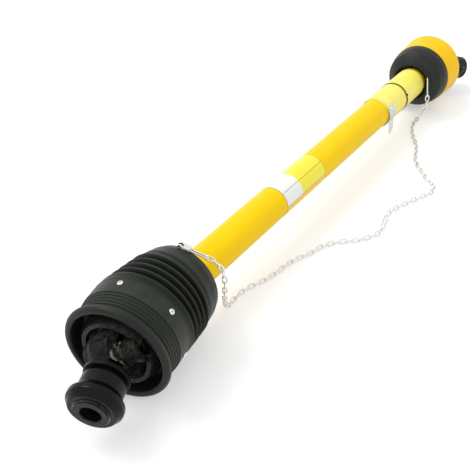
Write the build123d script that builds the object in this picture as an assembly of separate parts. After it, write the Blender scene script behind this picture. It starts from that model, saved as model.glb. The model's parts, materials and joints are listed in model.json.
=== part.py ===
from build123d import *
from math import atan2, cos, degrees, radians, sin, sqrt, tan
import os

# Tractor drive shaft with a wide-angle joint at the tractor end, a single joint at the implement
# end, two telescoping profile tubes and a full plastic guard with its holding chains.
# Lengths are millimetres. The shaft frame has its origin at the inner cross of the wide-angle
# joint, +X along the tubes towards the implement and +Z up. At the end every piece is set down
# on the floor as the shaft lies, on the mouth of its bell and on its yellow ring.

# Universal joints
cap_radius = 15.1
cap_reach = 46.0
cap_length = 17.5
cap_floor = 3.0
journal_radius = 9.0
journal_play = 0.06
shoulder_radius = 13.0
spider_radius = 19.0
snap_ring_width = 1.5
snap_ring_depth = 1.2
snap_ring_gap = 6.0
snap_ring_cut = 9.0
seat_play = 0.02
side_play = 0.3
cut_past = 5.0
fork_cheek = 31.0
fork_reach = 49.0
fork_eye_radius = 25.0
fork_depth = 48.0
fork_overlap = 4.0
fork_root = 60.0
fork_root_reach = 29.0
fork_tip_cut = 13.0
fork_envelope = 57.2
fork_shoulder_reach = 36.5
fork_corner = 16.0
nipple_radius = 3.0
nipple_seat = 5.0
nipple_stem = 4.0
nipple_length = 9.0
nipple_collar = 2.0
nipple_collar_step = 0.6
nipple_tip_step = 1.0

# Wide-angle joint
cross_spacing = 84.0
housing_inner_radius = 58.0
housing_wall = 16.0
housing_groove_depth = 4.0
housing_groove_width = 10.0
housing_rim = 11.0
housing_rim_length = 14.0
housing_rim_wall = 8.0
housing_outer_radius = housing_inner_radius + housing_wall
housing_groove_radius = housing_outer_radius - housing_groove_depth
housing_rim_radius = housing_inner_radius + housing_rim_wall
boss_radius = 26.0
boss_overlap = 4.0

# How the joints stand at rest, in degrees
fork_roll = 60.0
inner_turn = 6.0
inner_swing = 8.5
implement_roll = 30.0
implement_swing = -35.0
implement_reach_deg = 30.0

# Profile tubes, three round lobes on a triangle
lobe_distance = 15.0
lobe_radius = 11.5
outer_tube_wall = 4.0
inner_tube_wall = 3.5
tube_slip = 0.3
outer_tube_end = 820.0
inner_tube_start = 400.0
hub_radius = 32.0
hub_end = 114.0
hub_groove_start = 92.0
hub_groove_width = 8.0
hub_groove_depth = 2.3
socket_start = 62.0
roll_pin_radius = 5.0
roll_pin_bore = 3.0
roll_pin_place = 107.5
roll_pin_slit = 1.5
roll_pin_inset = 1.0

# Tractor yoke with its pull collar
yoke_hub_radius = 30.0
yoke_length = 134.0
shoulder_ring_start = 54.0
shoulder_ring_width = 8.0
shoulder_ring_radius = 41.0
shoulder_back_round = 2.5
shoulder_front_round = 1.5
collar_start = 71.0
collar_sleeve_radius = 39.0
collar_flare_start = 95.0
collar_wide_place = 112.0
collar_wide_half = 5.0
collar_wide_radius = 49.5
collar_round = 6.0
collar_sleeve_round = 1.2
collar_face_round = 3.5
collar_end = 129.0
collar_face_radius = 41.0
collar_bore_play = 0.08
collar_wall = 3.5
collar_land_start = 104.0
collar_land_width = 12.0
ball_pocket_depth = 4.5
ball_pocket_start = 3.0
ball_pocket_end = 5.0
spline_minor_radius = 14.9
spline_major_radius = 17.55
pilot_radius = spline_major_radius + 0.6
spline_width = 8.7
spline_count = 6
bore_depth = 78.0
pilot_depth = 8.0
mouth_radius = 19.7
mouth_lead = mouth_radius - pilot_radius
collar_travel = 8.0
ball_radius = 7.0
ball_place = 110.0
ball_count = 3
ball_inset = 15.4
ball_play = 0.05
ball_roll = 30.0
spring_wire = 1.6
spring_turns = 4
keeper_width = 1.8
keeper_reach = 2.0
keeper_play = 0.1
keeper_slit = 7.0

# Implement yoke with its quick-release pin
implement_hub_length = 104.0
pin_place = 80.0
pin_offset = 21.5
pin_radius = 7.0
pin_boss_radius = 13.0
pin_boss_half = 27.0
pin_head_radius = 9.5
pin_head_height = 5.0
pin_head_gap = 0.9
pin_travel = 8.0
pin_waist_radius = 3.6
pin_vent_radius = 4.0
pin_shank_start = 19.0
pin_waist_start = 4.0
pin_waist_end = 10.0
pin_end = 12.0
pin_bore_end = 23.0
pin_spring_turns = 2

# Guard tubes
guard_radius = 36.0
guard_wall = 3.0
guard_gap = 1.0
inner_guard_wall = 2.5
guard_start = 108.0
guard_end = 1150.0
inner_guard_start = 380.0
inner_guard_end = 1166.0
guard_seat_play = 0.15
ring_seat_depth = 1.0

# Base cone behind the wide-angle joint
cone_front = 83.0
cone_front_radius = 86.5
cone_mid = 106.0
cone_mid_radius = 82.0
cone_back = 122.0
cone_back_radius = 75.5
cone_wall = 3.5
cone_neck_radius = 42.0
cone_neck_end = 132.0
cone_web_start = 123.0
cone_web = 3.5
spigot_length = 6.5
spigot_drop = 3.7
cone_back_drop = 7.0
cone_inner_drop = 9.0
cone_mid_round = 10.0
cone_back_round = 5.0
ring_running_play = 0.1
bearing_split = 3.0

# Bell over the wide-angle joint, measured from the inner cross towards the tractor
bell_back = 11.0
bell_room = 18.5
bell_wall = 4.5
bell_band_radius = housing_outer_radius + bell_room + bell_wall
bell_band_end = 47.0
bell_neck = 80.0
bell_neck_drop = 4.0
bell_neck_radius = bell_band_radius - bell_neck_drop
bell_step_count = 4
bell_step_depth = 1.2
bell_step_flat = 0.45
bell_inner_edge = 3.0
lip_length = 18.0
lip_height = 7.5
lip_radius = bell_neck_radius + lip_height
lip_thickness = 9.0
lip_back_round = 3.0
lip_mouth_round = 6.5
lip_inner_round = 5.0
bell_spigot = 6.5
screw_place = 26.0
screw_count = 6
screw_radius = 2.5
screw_head_radius = 5.5
screw_head_height = 3.0
screw_depth = 14.0
screw_head_round = 2.0
screw_cut_start = 60.0
screw_cut_end = 120.0
bell_ring_flange = 7.0
bell_ring_thickness = 8.0
screw_roll = 20.0

# Rubber bellows between the base cone and the bell
bellows_ribs = 5
bellows_valley = 6.0
bellows_wall = 3.0
bellows_peak_front = 98.0
bellows_peak_back = 89.0
bellows_cuff = 3.6

# Guard at the implement end
ring_start = 1203.0
ring_end = 1272.0
ring_start_radius = 79.5
ring_end_radius = 83.5
ring_wall = 3.5
ring_overlap = 16.0
ring_round = 1.5
funnel_mouth = 1140.0
funnel_mouth_radius = 50.0
funnel_crease = 1155.0
funnel_crease_radius = 68.0
funnel_shoulder = 1185.0
funnel_shoulder_radius = 77.5
funnel_wall = 4.0
funnel_crease_width = 1.5
funnel_crease_drop = 1.7
funnel_swell = 8.0
funnel_swell_rise = 4.5
funnel_swell_round = 6.0
funnel_mouth_round = 1.5
funnel_neck_start = 1158.0
funnel_neck_end = 1200.0
implement_cross = 1282.0

# What is wrapped round the tube
label_start = 437.0
label_split = 501.0
label_end = 600.0
label_thickness = 0.3
label_gap = 0.05
label_turn = 330.0
booklet_start = 923.0
booklet_end = 1137.0
booklet_thickness = 2.4
booklet_turn = 352.0
booklet_middle = 100.0
band_place = 1030.0
band_width = 3.0
band_thickness = 1.2
knot_roll = 155.0
knot_length = 5.0
knot_height = 3.4
knot_width = 4.0
flap_inset = 6.0
flap_width = 30.0
flap_drop = 34.0
flap_angle = 25.0
flap_turn = 60.0
flap_tilt = 3.0
flap_thickness = 0.6

# Chains. Places are (x, y, z) in the shaft frame, and a stretch on the floor takes its height there.
chain_wire = 3.0
chain_pitch = 14.0
chain_slot = 4.8
chain_play = 0.35
chain_lie = 4.4
chain_roll = 45.0
chain_ease = 8
link_corner = 0.6
link_chamfer = 0.29
lug_wire = 3.0
lug_radius = 5.0
hook_wire = 3.4
hook_width = 8.4
hook_play = 0.8
tab_radius = 1.8
join_gap = 6.5
join_lift = 0.5
near_eye = (118.0, 0.0, 82.0)
near_hook_end = (125.0, -50.0, 72.0)
near_hook_roll = -20.0
near_drop = [(128.5, -66, 67), (135, -77, 48), (139, -79, 15), (146, -73, -18), (164, -62, -54),
             (188, -50, -84)]
near_run = [(214, -42), (238, -41), (267, -44), (298, -56), (352, -69), (391, -75), (441, -94),
            (480, -106), (507, -126), (530, -152), (560, -174), (587, -184), (608, -178)]
far_eye = (1133.0, -47.0, 26.6)
far_hook_end = (1129.0, -55.0, -20.0)
far_hook_roll = -20.0
far_rise = [(1128, -56, -37), (1127, -54, -56), (1122, -48, -73)]
far_run = [(1108, -44), (1083, -45), (1045, -56), (1003, -80), (965, -104), (913, -123), (875, -152),
           (853, -173), (838, -188), (827, -206), (808, -216), (786, -213), (765, -204), (728, -187),
           (704, -178), (680, -171), (655, -169)]


def rod(radius, start, end):
    """A cylinder on the X axis."""
    return extrude(Plane.YZ.offset(start) * Circle(radius), end - start)


def pipe(outer, inner, start, end):
    """A plain tube on the X axis."""
    return rod(outer, start, end) - rod(inner, start - 1, end + 1)


def turned(points, rounds=()):
    """A piece turned about X from (x, radius) points, with some corners rounded."""
    outline = make_face(Polyline(*points, close=True))
    for place, radius in rounds:
        corner = outline.vertices().sort_by_distance(Vector(place[0], place[1], 0))[0]
        outline = fillet(corner, radius)
    return revolve(outline, Axis.X)


def cross_pin(radius, start, end):
    """A cylinder on the Y axis."""
    return extrude(Plane.XZ.offset(-start) * Circle(radius), -(end - start))


def both_sides(piece):
    """The piece and its twin, turned half a turn about X."""
    return [piece, Rot(180, 0, 0) * piece]


# Pieces of a universal joint. A fork has its eyes on Y and its hub towards +X.

def fork():
    """The two arms of a forged yoke, without its hub."""
    side = make_face(Polyline(
        (-fork_eye_radius, fork_reach - fork_tip_cut), (fork_tip_cut - fork_eye_radius, fork_reach),
        (fork_eye_radius, fork_reach), (fork_root, fork_root_reach), (fork_root, -fork_root_reach),
        (fork_eye_radius, -fork_reach), (fork_tip_cut - fork_eye_radius, -fork_reach),
        (-fork_eye_radius, fork_tip_cut - fork_reach), close=True))
    waist = fork_eye_radius * 0.85
    plan = make_face(Polyline(
        (0, waist), (fork_depth, waist), (fork_root, fork_root_reach), (fork_root, -fork_root_reach),
        (fork_depth, -waist), (0, -waist), close=True)) + Circle(fork_eye_radius)
    arms = extrude(side, fork_eye_radius * 2, both=True)
    arms &= extrude(Plane.XZ * plan, fork_reach, both=True)
    arms &= Sphere(fork_envelope) + rod(fork_shoulder_reach, 0, fork_root)
    arms -= fork_slot(fork_eye_radius * 2)
    arms -= cross_pin(cap_radius + seat_play, -fork_reach - 1, fork_reach + 1)
    return arms - snap_ring_groove() - Rot(180, 0, 0) * snap_ring_groove()


def fork_slot(reach):
    """What is open between the arms, with round corners at the root."""
    length = fork_depth * 2 + fork_eye_radius
    slot = Pos(fork_depth - length / 2, 0, 0) * RectangleRounded(length, 2 * fork_cheek, fork_corner)
    return extrude(slot, reach, both=True)


def snap_ring_groove():
    start = cap_reach + seat_play
    width = snap_ring_width + 2 * seat_play
    return cross_pin(cap_radius + snap_ring_depth + seat_play, start, start + width)


def snap_ring():
    start = cap_reach + 2 * seat_play
    ring = cross_pin(cap_radius + snap_ring_depth, start, start + snap_ring_width)
    ring -= cross_pin(cap_radius - 2 * snap_ring_depth, start - 1, start + snap_ring_width + 1)
    return ring - Pos(cap_radius, start, 0) * Box(cap_radius, snap_ring_cut, snap_ring_gap)


def bearing_cap():
    """A needle bearing cup on Y, closed outside."""
    cup = cross_pin(cap_radius, cap_reach - cap_length, cap_reach)
    return cup - cross_pin(journal_radius + journal_play, 0, cap_reach - cap_floor)


def spider():
    """The four-armed cross, with its seats for the cups on Y and on Z."""
    body = Sphere(spider_radius)
    reach = cap_reach - cap_floor - side_play
    shoulder = cap_reach - cap_length - side_play
    for roll in (0, 90):
        body += Rot(roll, 0, 0) * cross_pin(shoulder_radius, -shoulder, shoulder)
        body += Rot(roll, 0, 0) * cross_pin(journal_radius, -reach, reach)
    seat = Rot(45, 0, 0) * cross_pin(nipple_radius, spider_radius - nipple_seat, spider_radius + cut_past)
    return body - seat


def grease_nipple():
    """A nipple screwed into the cross, between two of its arms."""
    foot = spider_radius - nipple_seat + seat_play
    collar = spider_radius + nipple_stem
    body = cross_pin(nipple_radius - seat_play, foot, collar + nipple_collar / 2)
    body += cross_pin(nipple_radius + nipple_collar_step, collar, collar + nipple_collar)
    body += cross_pin(nipple_radius - nipple_tip_step, collar, spider_radius + nipple_length)
    return Rot(45, 0, 0) * body


# Profile tubes

def lobed(growth):
    """A filled three-lobed outline across X, grown or shrunk evenly."""
    outline = make_hull([edge for i in range(3) for edge in (
        Pos(lobe_distance * cos(radians(120 * i)), lobe_distance * sin(radians(120 * i)))
        * Circle(lobe_radius + growth)).edges()])
    return outline


def profile_tube(growth, wall, start, end):
    outline = Plane.YZ.offset(start) * (lobed(growth) - lobed(growth - wall))
    return extrude(outline, end - start)


def roll_pin_hole():
    return Rot(90, 0, 0) * Pos(roll_pin_place, 0, 0) * cross_pin(
        roll_pin_radius + seat_play, -hub_radius - cut_past, hub_radius + cut_past)


def roll_pin():
    pin = cross_pin(roll_pin_radius, roll_pin_inset - hub_radius, hub_radius - roll_pin_inset)
    pin -= cross_pin(roll_pin_bore, -hub_radius, hub_radius)
    pin -= Pos(roll_pin_radius, 0, 0) * Box(roll_pin_radius * 2, 3 * hub_radius, roll_pin_slit)
    return Rot(90, 0, 0) * Pos(roll_pin_place, 0, 0) * pin


def tube_yoke(growth, socket_roll):
    """An inner yoke whose hub takes a profile tube."""
    piece = fork() + rod(hub_radius, fork_root - fork_overlap, hub_end)
    socket = extrude(Plane.YZ.offset(socket_start) * lobed(growth + seat_play),
                     hub_end - socket_start + 1)
    piece -= Rot(socket_roll, 0, 0) * socket
    groove = pipe(hub_radius + 1, hub_radius - hub_groove_depth, hub_groove_start,
                  hub_groove_start + hub_groove_width)
    return piece - groove - roll_pin_hole()


def bearing_ring(outer):
    """A split nylon ring that turns in the groove of an inner yoke's hub."""
    start = hub_groove_start + side_play / 2
    end = hub_groove_start + hub_groove_width - side_play / 2
    inner = hub_radius - hub_groove_depth + ring_running_play
    ring = pipe(outer, inner, start, end)
    return ring - Pos(0, 0, -outer) * Box(4 * hub_end, bearing_split, outer * 1.5)


# Hubs with six splines, built towards +X like the forks

def splined_bore(end, depth):
    bore = rod(spline_minor_radius, end - depth, end + 1)
    for i in range(spline_count):
        key = Box(depth, spline_width, 2 * spline_major_radius)
        bore += Rot(360 / spline_count * i, 0, 0) * Pos(end - depth / 2, 0, 0) * (
            key & rod(spline_major_radius, -depth, depth))
    bore += rod(pilot_radius, end - pilot_depth, end + 1)
    return bore + turned([(end - mouth_lead, 0), (end - mouth_lead, pilot_radius),
                          (end + 0.01, mouth_radius), (end + 0.01, 0)])


def ball_hole(i):
    seat = cross_pin(ball_radius + journal_play, ball_inset, yoke_hub_radius + 1)
    return Rot(360 / ball_count * i + ball_roll, 0, 0) * Pos(ball_place, 0, 0) * seat


def tractor_yoke():
    piece = fork() + rod(yoke_hub_radius, fork_root - fork_overlap, yoke_length)
    back = (shoulder_ring_start, shoulder_ring_radius)
    front = (shoulder_ring_start + shoulder_ring_width, shoulder_ring_radius)
    piece += turned([(back[0], 0), back, front, (front[0], 0)],
                    [(back, shoulder_back_round), (front, shoulder_front_round)])
    piece -= fork_slot(shoulder_ring_radius + cut_past)
    piece -= splined_bore(yoke_length, bore_depth)
    for i in range(ball_count):
        piece -= ball_hole(i)
    keeper_start = collar_end + keeper_play
    keeper = pipe(yoke_hub_radius + 1, yoke_hub_radius - keeper_reach, keeper_start,
                  keeper_start + keeper_width)
    return piece - keeper


def locking_balls():
    place = ball_inset + ball_radius + ball_play
    return [Rot(360 / ball_count * i + ball_roll, 0, 0) * Pos(ball_place, place, 0) * Sphere(ball_radius)
            for i in range(ball_count)]


def keeper_ring():
    """The split ring that keeps the collar on the hub."""
    start = collar_end + keeper_play + seat_play
    ring = pipe(yoke_hub_radius + keeper_reach, yoke_hub_radius - keeper_reach + seat_play, start,
                start + keeper_width - 2 * seat_play)
    slit = Box(10 * keeper_width, yoke_hub_radius / 2, keeper_slit)
    return ring - Pos(collar_end, yoke_hub_radius, 0) * slit


def pull_collar():
    bore = yoke_hub_radius + collar_bore_play
    chamber = collar_sleeve_radius - collar_wall
    land_end = collar_land_start + collar_land_width
    wide_start = (collar_wide_place - collar_wide_half, collar_wide_radius)
    wide_end = (collar_wide_place + collar_wide_half, collar_wide_radius)
    piece = turned([
        (collar_start, chamber), (collar_start, collar_sleeve_radius),
        (collar_flare_start, collar_sleeve_radius), wide_start, wide_end, (collar_end, collar_face_radius),
        (collar_end, bore), (land_end + ball_pocket_end, bore),
        (land_end + ball_pocket_start, bore + ball_pocket_depth),
        (land_end, bore), (collar_land_start, bore), (collar_land_start, chamber)],
        [((collar_start, collar_sleeve_radius), collar_sleeve_round),
         ((collar_flare_start, collar_sleeve_radius), collar_round),
         (wide_start, collar_round), (wide_end, collar_round),
         ((collar_end, collar_face_radius), collar_face_round)])
    return piece


def collar_spring():
    """The spring that pushes the collar out against its keeper ring."""
    start = shoulder_ring_start + shoulder_ring_width + spring_wire / 2 + side_play
    end = collar_land_start - spring_wire / 2 - side_play
    radius = (yoke_hub_radius + collar_sleeve_radius - collar_wall) / 2
    path = Helix((end - start) / spring_turns, end - start, radius)
    section = Plane(origin=path @ 0, z_dir=path % 0) * Circle(spring_wire / 2)
    return Pos(start, 0, 0) * Rot(0, 90, 0) * sweep(section, path=path)


def implement_yoke():
    """The far yoke, with a cross bore through its hub for the push pin."""
    piece = fork() + rod(yoke_hub_radius, fork_root - fork_overlap, implement_hub_length)
    lie = Pos(pin_place, 0, pin_offset)
    piece += lie * cross_pin(pin_boss_radius, -pin_boss_half, pin_boss_half)
    piece -= splined_bore(implement_hub_length, implement_hub_length - fork_root + fork_overlap - 1)
    piece -= lie * cross_pin(pin_radius + journal_play, -pin_boss_half - cut_past, pin_bore_end)
    piece -= lie * cross_pin(pin_vent_radius, 0, pin_boss_half + cut_past)
    return piece - fork_slot(fork_root)


def quick_pin():
    """The push pin across the hub, with a waist that frees the shaft when pressed."""
    head = -pin_boss_half - pin_travel - pin_head_gap
    pin = cross_pin(pin_radius, -pin_shank_start, pin_waist_start)
    pin += cross_pin(pin_waist_radius, pin_waist_start, pin_waist_end)
    pin += cross_pin(pin_radius, pin_waist_end, pin_end)
    pin += cross_pin(pin_head_radius, head - pin_head_height, head)
    pin += cross_pin(pin_radius, head - 1, 1 - pin_shank_start)
    return Pos(pin_place, 0, pin_offset) * pin


def quick_pin_spring():
    """The spring that pushes the pin back."""
    start = pin_end + spring_wire / 2 + side_play
    end = pin_bore_end - spring_wire / 2 - side_play
    path = Helix((end - start) / pin_spring_turns, end - start, pin_radius - spring_wire)
    section = Plane(origin=path @ 0, z_dir=path % 0) * Circle(spring_wire / 2)
    spring = Pos(0, start, 0) * Rot(-90, 0, 0) * sweep(section, path=path)
    return Pos(pin_place, 0, pin_offset) * spring


# Wide-angle housing, in the frame of the inner cross with the outer cross towards -X

def centre_housing():
    front = -cross_spacing - housing_rim
    middle = -cross_spacing / 2
    half_groove = housing_groove_width / 2
    piece = turned([
        (front, housing_inner_radius), (front, housing_rim_radius),
        (front + housing_rim_length, housing_outer_radius), (middle - half_groove, housing_outer_radius),
        (middle - half_groove, housing_groove_radius), (middle + half_groove, housing_groove_radius),
        (middle + half_groove, housing_outer_radius),
        (housing_rim - housing_rim_length, housing_outer_radius),
        (housing_rim, housing_rim_radius), (housing_rim, housing_inner_radius)])
    for place in (0, -cross_spacing):
        for side in (0, 180):
            turn = Rot(90 + side, 0, 0) * Pos(place, 0, 0)
            piece += turn * cross_pin(boss_radius, fork_cheek, housing_inner_radius + boss_overlap)
    for place in (0, -cross_spacing):
        turn = Rot(90, 0, 0) * Pos(place, 0, 0)
        reach = housing_outer_radius + cut_past
        piece -= turn * cross_pin(cap_radius + seat_play, -reach, reach)
        piece -= [turn * snap_ring_groove(), Rot(180, 0, 0) * turn * snap_ring_groove()]
    return piece


def at_both_crosses(piece):
    """Copies on the housing's four eyes, which stand on Z."""
    copies = []
    for place in (0, -cross_spacing):
        for side in (90, 270):
            copies.append(Rot(side, 0, 0) * Pos(place, 0, 0) * piece)
    return copies


def housing_ring():
    """The nylon ring that carries the bell on the housing."""
    middle = -cross_spacing / 2
    half = housing_groove_width / 2 - side_play / 2
    bore = housing_groove_radius + ring_running_play
    outer = bell_band_radius - bell_wall - ring_running_play
    flange = bell_ring_flange - screw_place
    web = outer - bell_ring_thickness
    ring = turned([(middle - half, bore), (middle - half, outer), (flange, outer), (flange, web),
                   (middle + half, web), (middle + half, bore)])
    ring -= Pos(0, 0, -outer) * Box(4 * cross_spacing, bearing_split, outer)
    for i in range(screw_count):
        ring -= screw_turn(i) * cross_pin(screw_radius + seat_play, outer - screw_depth, outer + cut_past)
    return ring


def screw_turn(i):
    return Rot(360 / screw_count * i + screw_roll, 0, 0) * Pos(-screw_place, 0, 0)


def bell_screws():
    """The pan-head screws through the bell's band into its ring."""
    seat = bell_band_radius + ring_running_play
    inner = bell_band_radius - bell_wall - screw_depth + 1
    screw = cross_pin(screw_radius, inner, seat + 1)
    head = cross_pin(screw_head_radius, seat, seat + screw_head_height)
    head = fillet(head.edges().filter_by(GeomType.CIRCLE).sort_by(Axis.Y)[-1], screw_head_round)
    return [screw_turn(i) * (screw + head) for i in range(screw_count)]


# Guard shells

def bell():
    """The stiff bell with its shallow steps, rolled lip and spigot for the bellows."""
    outer = [(-bell_back, bell_band_radius), (-bell_band_end, bell_band_radius)]
    step = (bell_neck - bell_band_end) / bell_step_count
    fall = (bell_band_radius - bell_neck_radius) / bell_step_count
    for i in range(bell_step_count):
        start = -bell_band_end - step * i
        radius = bell_band_radius - fall * (i + 1)
        outer += [(start - bell_step_depth, radius - bell_step_depth),
                  (start - step * bell_step_flat, radius), (start - step, radius)]
    lip_end = -bell_neck - lip_length
    outer += [(-bell_neck - 1, lip_radius), (lip_end, lip_radius)]
    bore = bell_band_radius - bell_wall
    inner_edge = -bell_back - bell_inner_edge
    spigot = bore - side_play
    lip_bore = lip_radius - lip_thickness - bell_wall
    inner = [(lip_end, lip_bore), (-bell_neck, bell_neck_radius - bell_wall - bell_step_depth),
             (-bell_band_end, bore), (inner_edge, bore), (inner_edge, bore - bell_wall),
             (-bell_back + bell_spigot, bore - bell_wall), (-bell_back + bell_spigot, spigot),
             (-bell_back, spigot)]
    piece = turned(outer + inner, [((-bell_neck - 1, lip_radius), lip_back_round),
                                   ((lip_end, lip_radius), lip_mouth_round),
                                   ((lip_end, lip_bore), lip_inner_round)])
    for i in range(screw_count):
        piece -= screw_turn(i) * cross_pin(screw_radius + ring_running_play, screw_cut_start, screw_cut_end)
    return piece


def base_cone():
    """The stiff cone behind the bellows, fixed on the guard tube."""
    spigot = cone_front_radius - spigot_drop
    outer = [(cone_front - spigot_length, spigot), (cone_front, spigot),
             (cone_front, cone_front_radius), (cone_mid, cone_mid_radius),
             (cone_back, cone_back_radius),
             (cone_web_start + cone_web, cone_back_radius - cone_back_drop),
             (cone_web_start + cone_web, cone_neck_radius), (cone_neck_end, cone_neck_radius - 1),
             (cone_neck_end, guard_radius + guard_seat_play)]
    seat = guard_radius + guard_seat_play
    ring_seat = guard_radius + ring_seat_depth
    tube_stop = guard_start - side_play
    neck_start = hub_groove_start - 2
    inner = [(tube_stop, seat), (tube_stop, ring_seat), (neck_start, ring_seat),
             (neck_start, cone_neck_radius), (cone_web_start, cone_neck_radius),
             (cone_web_start, cone_back_radius - cone_inner_drop),
             (cone_back - cone_wall + 0.5, cone_back_radius - cone_wall - 1),
             (cone_mid - 1, cone_mid_radius - cone_wall),
             (cone_front, spigot - cone_wall), (cone_front - spigot_length, spigot - cone_wall)]
    piece = turned(outer + inner, [((cone_mid, cone_mid_radius), cone_mid_round),
                                   ((cone_back, cone_back_radius), cone_back_round)])
    return piece + chain_eye(near_eye)


def bellows_frame(share, bend):
    """Where a ring of the bellows lies, between the base cone and the bell."""
    back = Vector(cone_front - side_play, 0, 0)
    front = (bend * Pos(side_play - bell_back, 0, 0)).position
    bell_heading = (bend * Pos(-1, 0, 0)).position
    heading = Vector(-1, 0, 0) * (1 - share) + bell_heading * share
    return Plane(origin=back + (front - back) * share, x_dir=upright(heading), z_dir=heading)


def bellows_skin(radii, bend, inset):
    last = len(radii) - 1
    rings = [bellows_frame(i / last, bend) * Circle(radius - inset) for i, radius in enumerate(radii)]
    return loft(rings, ruled=True)


def bellows(bend):
    """The ribbed rubber sleeve, in one bent piece."""
    cuff_back = cone_front_radius - spigot_drop + bellows_cuff
    cuff_front = bell_band_radius - bell_wall + bellows_cuff
    radii = [cuff_back, cuff_back, cuff_back]
    for i in range(bellows_ribs):
        peak = bellows_peak_back + (bellows_peak_front - bellows_peak_back) * i / (bellows_ribs - 1)
        radii += [peak - bellows_valley, peak - bellows_valley, peak, peak]
    radii += [cuff_front, cuff_front, cuff_front, cuff_front]
    return bellows_skin(radii, bend, 0) - bellows_skin(radii, bend, bellows_wall)


def far_funnel():
    """The stiff funnel on the inner guard tube."""
    wall = funnel_wall
    seat = guard_radius - guard_wall - guard_gap + guard_seat_play
    ring_seat = guard_radius + ring_seat_depth
    ring_stop = ring_start - side_play
    under_ring = ring_start_radius - ring_wall - side_play
    shelf = ring_start + ring_overlap
    web = funnel_neck_start + wall + 1
    tube_stop = inner_guard_end + side_play
    swell = (funnel_crease + funnel_swell, funnel_crease_radius + funnel_swell_rise)
    outer = [(funnel_mouth, funnel_mouth_radius), (funnel_crease, funnel_crease_radius),
             (funnel_crease + funnel_crease_width, funnel_crease_radius - funnel_crease_drop), swell,
             (funnel_shoulder, funnel_shoulder_radius), (ring_stop, ring_start_radius - 1),
             (ring_stop, under_ring), (shelf, under_ring)]
    inner = [(shelf, under_ring - wall), (funnel_shoulder, funnel_shoulder_radius - wall - 1),
             (web + wall, funnel_crease_radius), (web + wall, cone_neck_radius),
             (funnel_neck_end, cone_neck_radius), (funnel_neck_end, ring_seat),
             (tube_stop, ring_seat), (tube_stop, seat),
             (funnel_neck_start, seat), (funnel_neck_start, cone_neck_radius),
             (web, cone_neck_radius), (web, funnel_crease_radius - wall - 1),
             (funnel_crease, funnel_crease_radius - wall - 2), (funnel_mouth, funnel_mouth_radius - wall)]
    piece = turned(outer + inner, [((funnel_mouth, funnel_mouth_radius), funnel_mouth_round),
                                   (swell, funnel_swell_round)])
    return piece + chain_eye(far_eye) + far_tab()


def far_ring():
    """The yellow mouth ring, snapped over the funnel."""
    return turned([(ring_start, ring_start_radius), (ring_end, ring_end_radius),
                   (ring_end, ring_end_radius - ring_wall), (ring_start, ring_start_radius - ring_wall)],
                  [((ring_start, ring_start_radius), ring_round), ((ring_end, ring_end_radius), ring_round)])


# Wraps round the guard tube

def wrap(start, end, inner, thickness, turn, middle):
    """A sheet laid round the tube, over an angle about a middle direction."""
    sheet = Plane.XY * make_face(Polyline(
        (start, inner), (end, inner), (end, inner + thickness), (start, inner + thickness), close=True))
    return Rot(middle - turn / 2, 0, 0) * revolve(sheet, Axis.X, turn)


def booklet():
    return wrap(booklet_start, booklet_end, guard_radius + label_gap, booklet_thickness, booklet_turn,
                booklet_middle)


def booklet_band():
    """The elastic ring that holds the booklet, with its knot."""
    inner = guard_radius + 2 * label_gap + booklet_thickness
    band = pipe(inner + band_thickness, inner, band_place, band_place + band_width)
    knot = Box(knot_length, knot_height, knot_width)
    knot = Pos(band_place + band_width / 2, inner + knot_height / 2, 0) * knot
    hole = rod(inner, band_place - cut_past, band_place + 2 * cut_past)
    return band + Rot(knot_roll, 0, 0) * knot - hole


def film_flap():
    """A leaf of clear film that hangs from the booklet's end."""
    outer = guard_radius + label_gap + booklet_thickness
    start = booklet_start + flap_inset
    top = wrap(start, start + flap_width, outer + ring_running_play, flap_thickness, flap_turn,
               150 + flap_angle)
    turn = radians(flap_angle)
    leaf = Pos(start + flap_width / 2, -outer * cos(turn) - side_play, -outer * sin(turn) - flap_drop / 2 + 1)
    leaf = leaf * Rot(flap_tilt, 0, 0) * Box(flap_width, 2 * flap_thickness, flap_drop)
    return top + leaf


# Chains

def chain_eye(centre):
    """A small eye standing along the tube, which the chain's hook goes through."""
    return Pos(*centre) * Rot(0, 90, 0) * Torus(lug_radius, lug_wire / 2)


def far_tab():
    """The stub that holds the eye in front of the funnel's mouth."""
    reach = (funnel_mouth_radius - funnel_wall / 2) / Vector(0, far_eye[1], far_eye[2]).length
    start = Vector(far_eye[0] - lug_wire / 2, far_eye[1] * reach, far_eye[2] * reach)
    length = funnel_mouth + 2 - start.X
    return extrude(Plane(origin=start, z_dir=(1, 0, 0)) * Circle(tab_radius), length)


def wire_loop(start, end, roll):
    """A long closed loop of wire, whose centre line just reaches both places."""
    heading = end - start
    lie = Plane(origin=(start + end) / 2, x_dir=heading, z_dir=upright(heading))
    path = SlotOverall(heading.length, hook_width).wire()
    section = Plane(origin=path @ 0, z_dir=path % 0) * Circle(hook_wire / 2)
    return lie.location * Rot(roll, 0, 0) * sweep(section, path=path)


def hook(start, end, roll):
    """The loop from an eye to the place where a chain begins."""
    reach = (Vector(*end) - Vector(*start)).normalized() * (hook_play + hook_wire) / 2
    return wire_loop(Vector(*start), Vector(*end) + reach, roll)


def join_hook(start, end, roll):
    """The loop at the near chain's end, which stops just short of the far chain."""
    heading = (end - start).normalized()
    lift = Vector(0, 0, join_lift)
    return wire_loop(start - heading * (hook_play + hook_wire) / 2 + lift,
                     end - heading * (join_gap + hook_wire / 2) + lift, roll)


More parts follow.
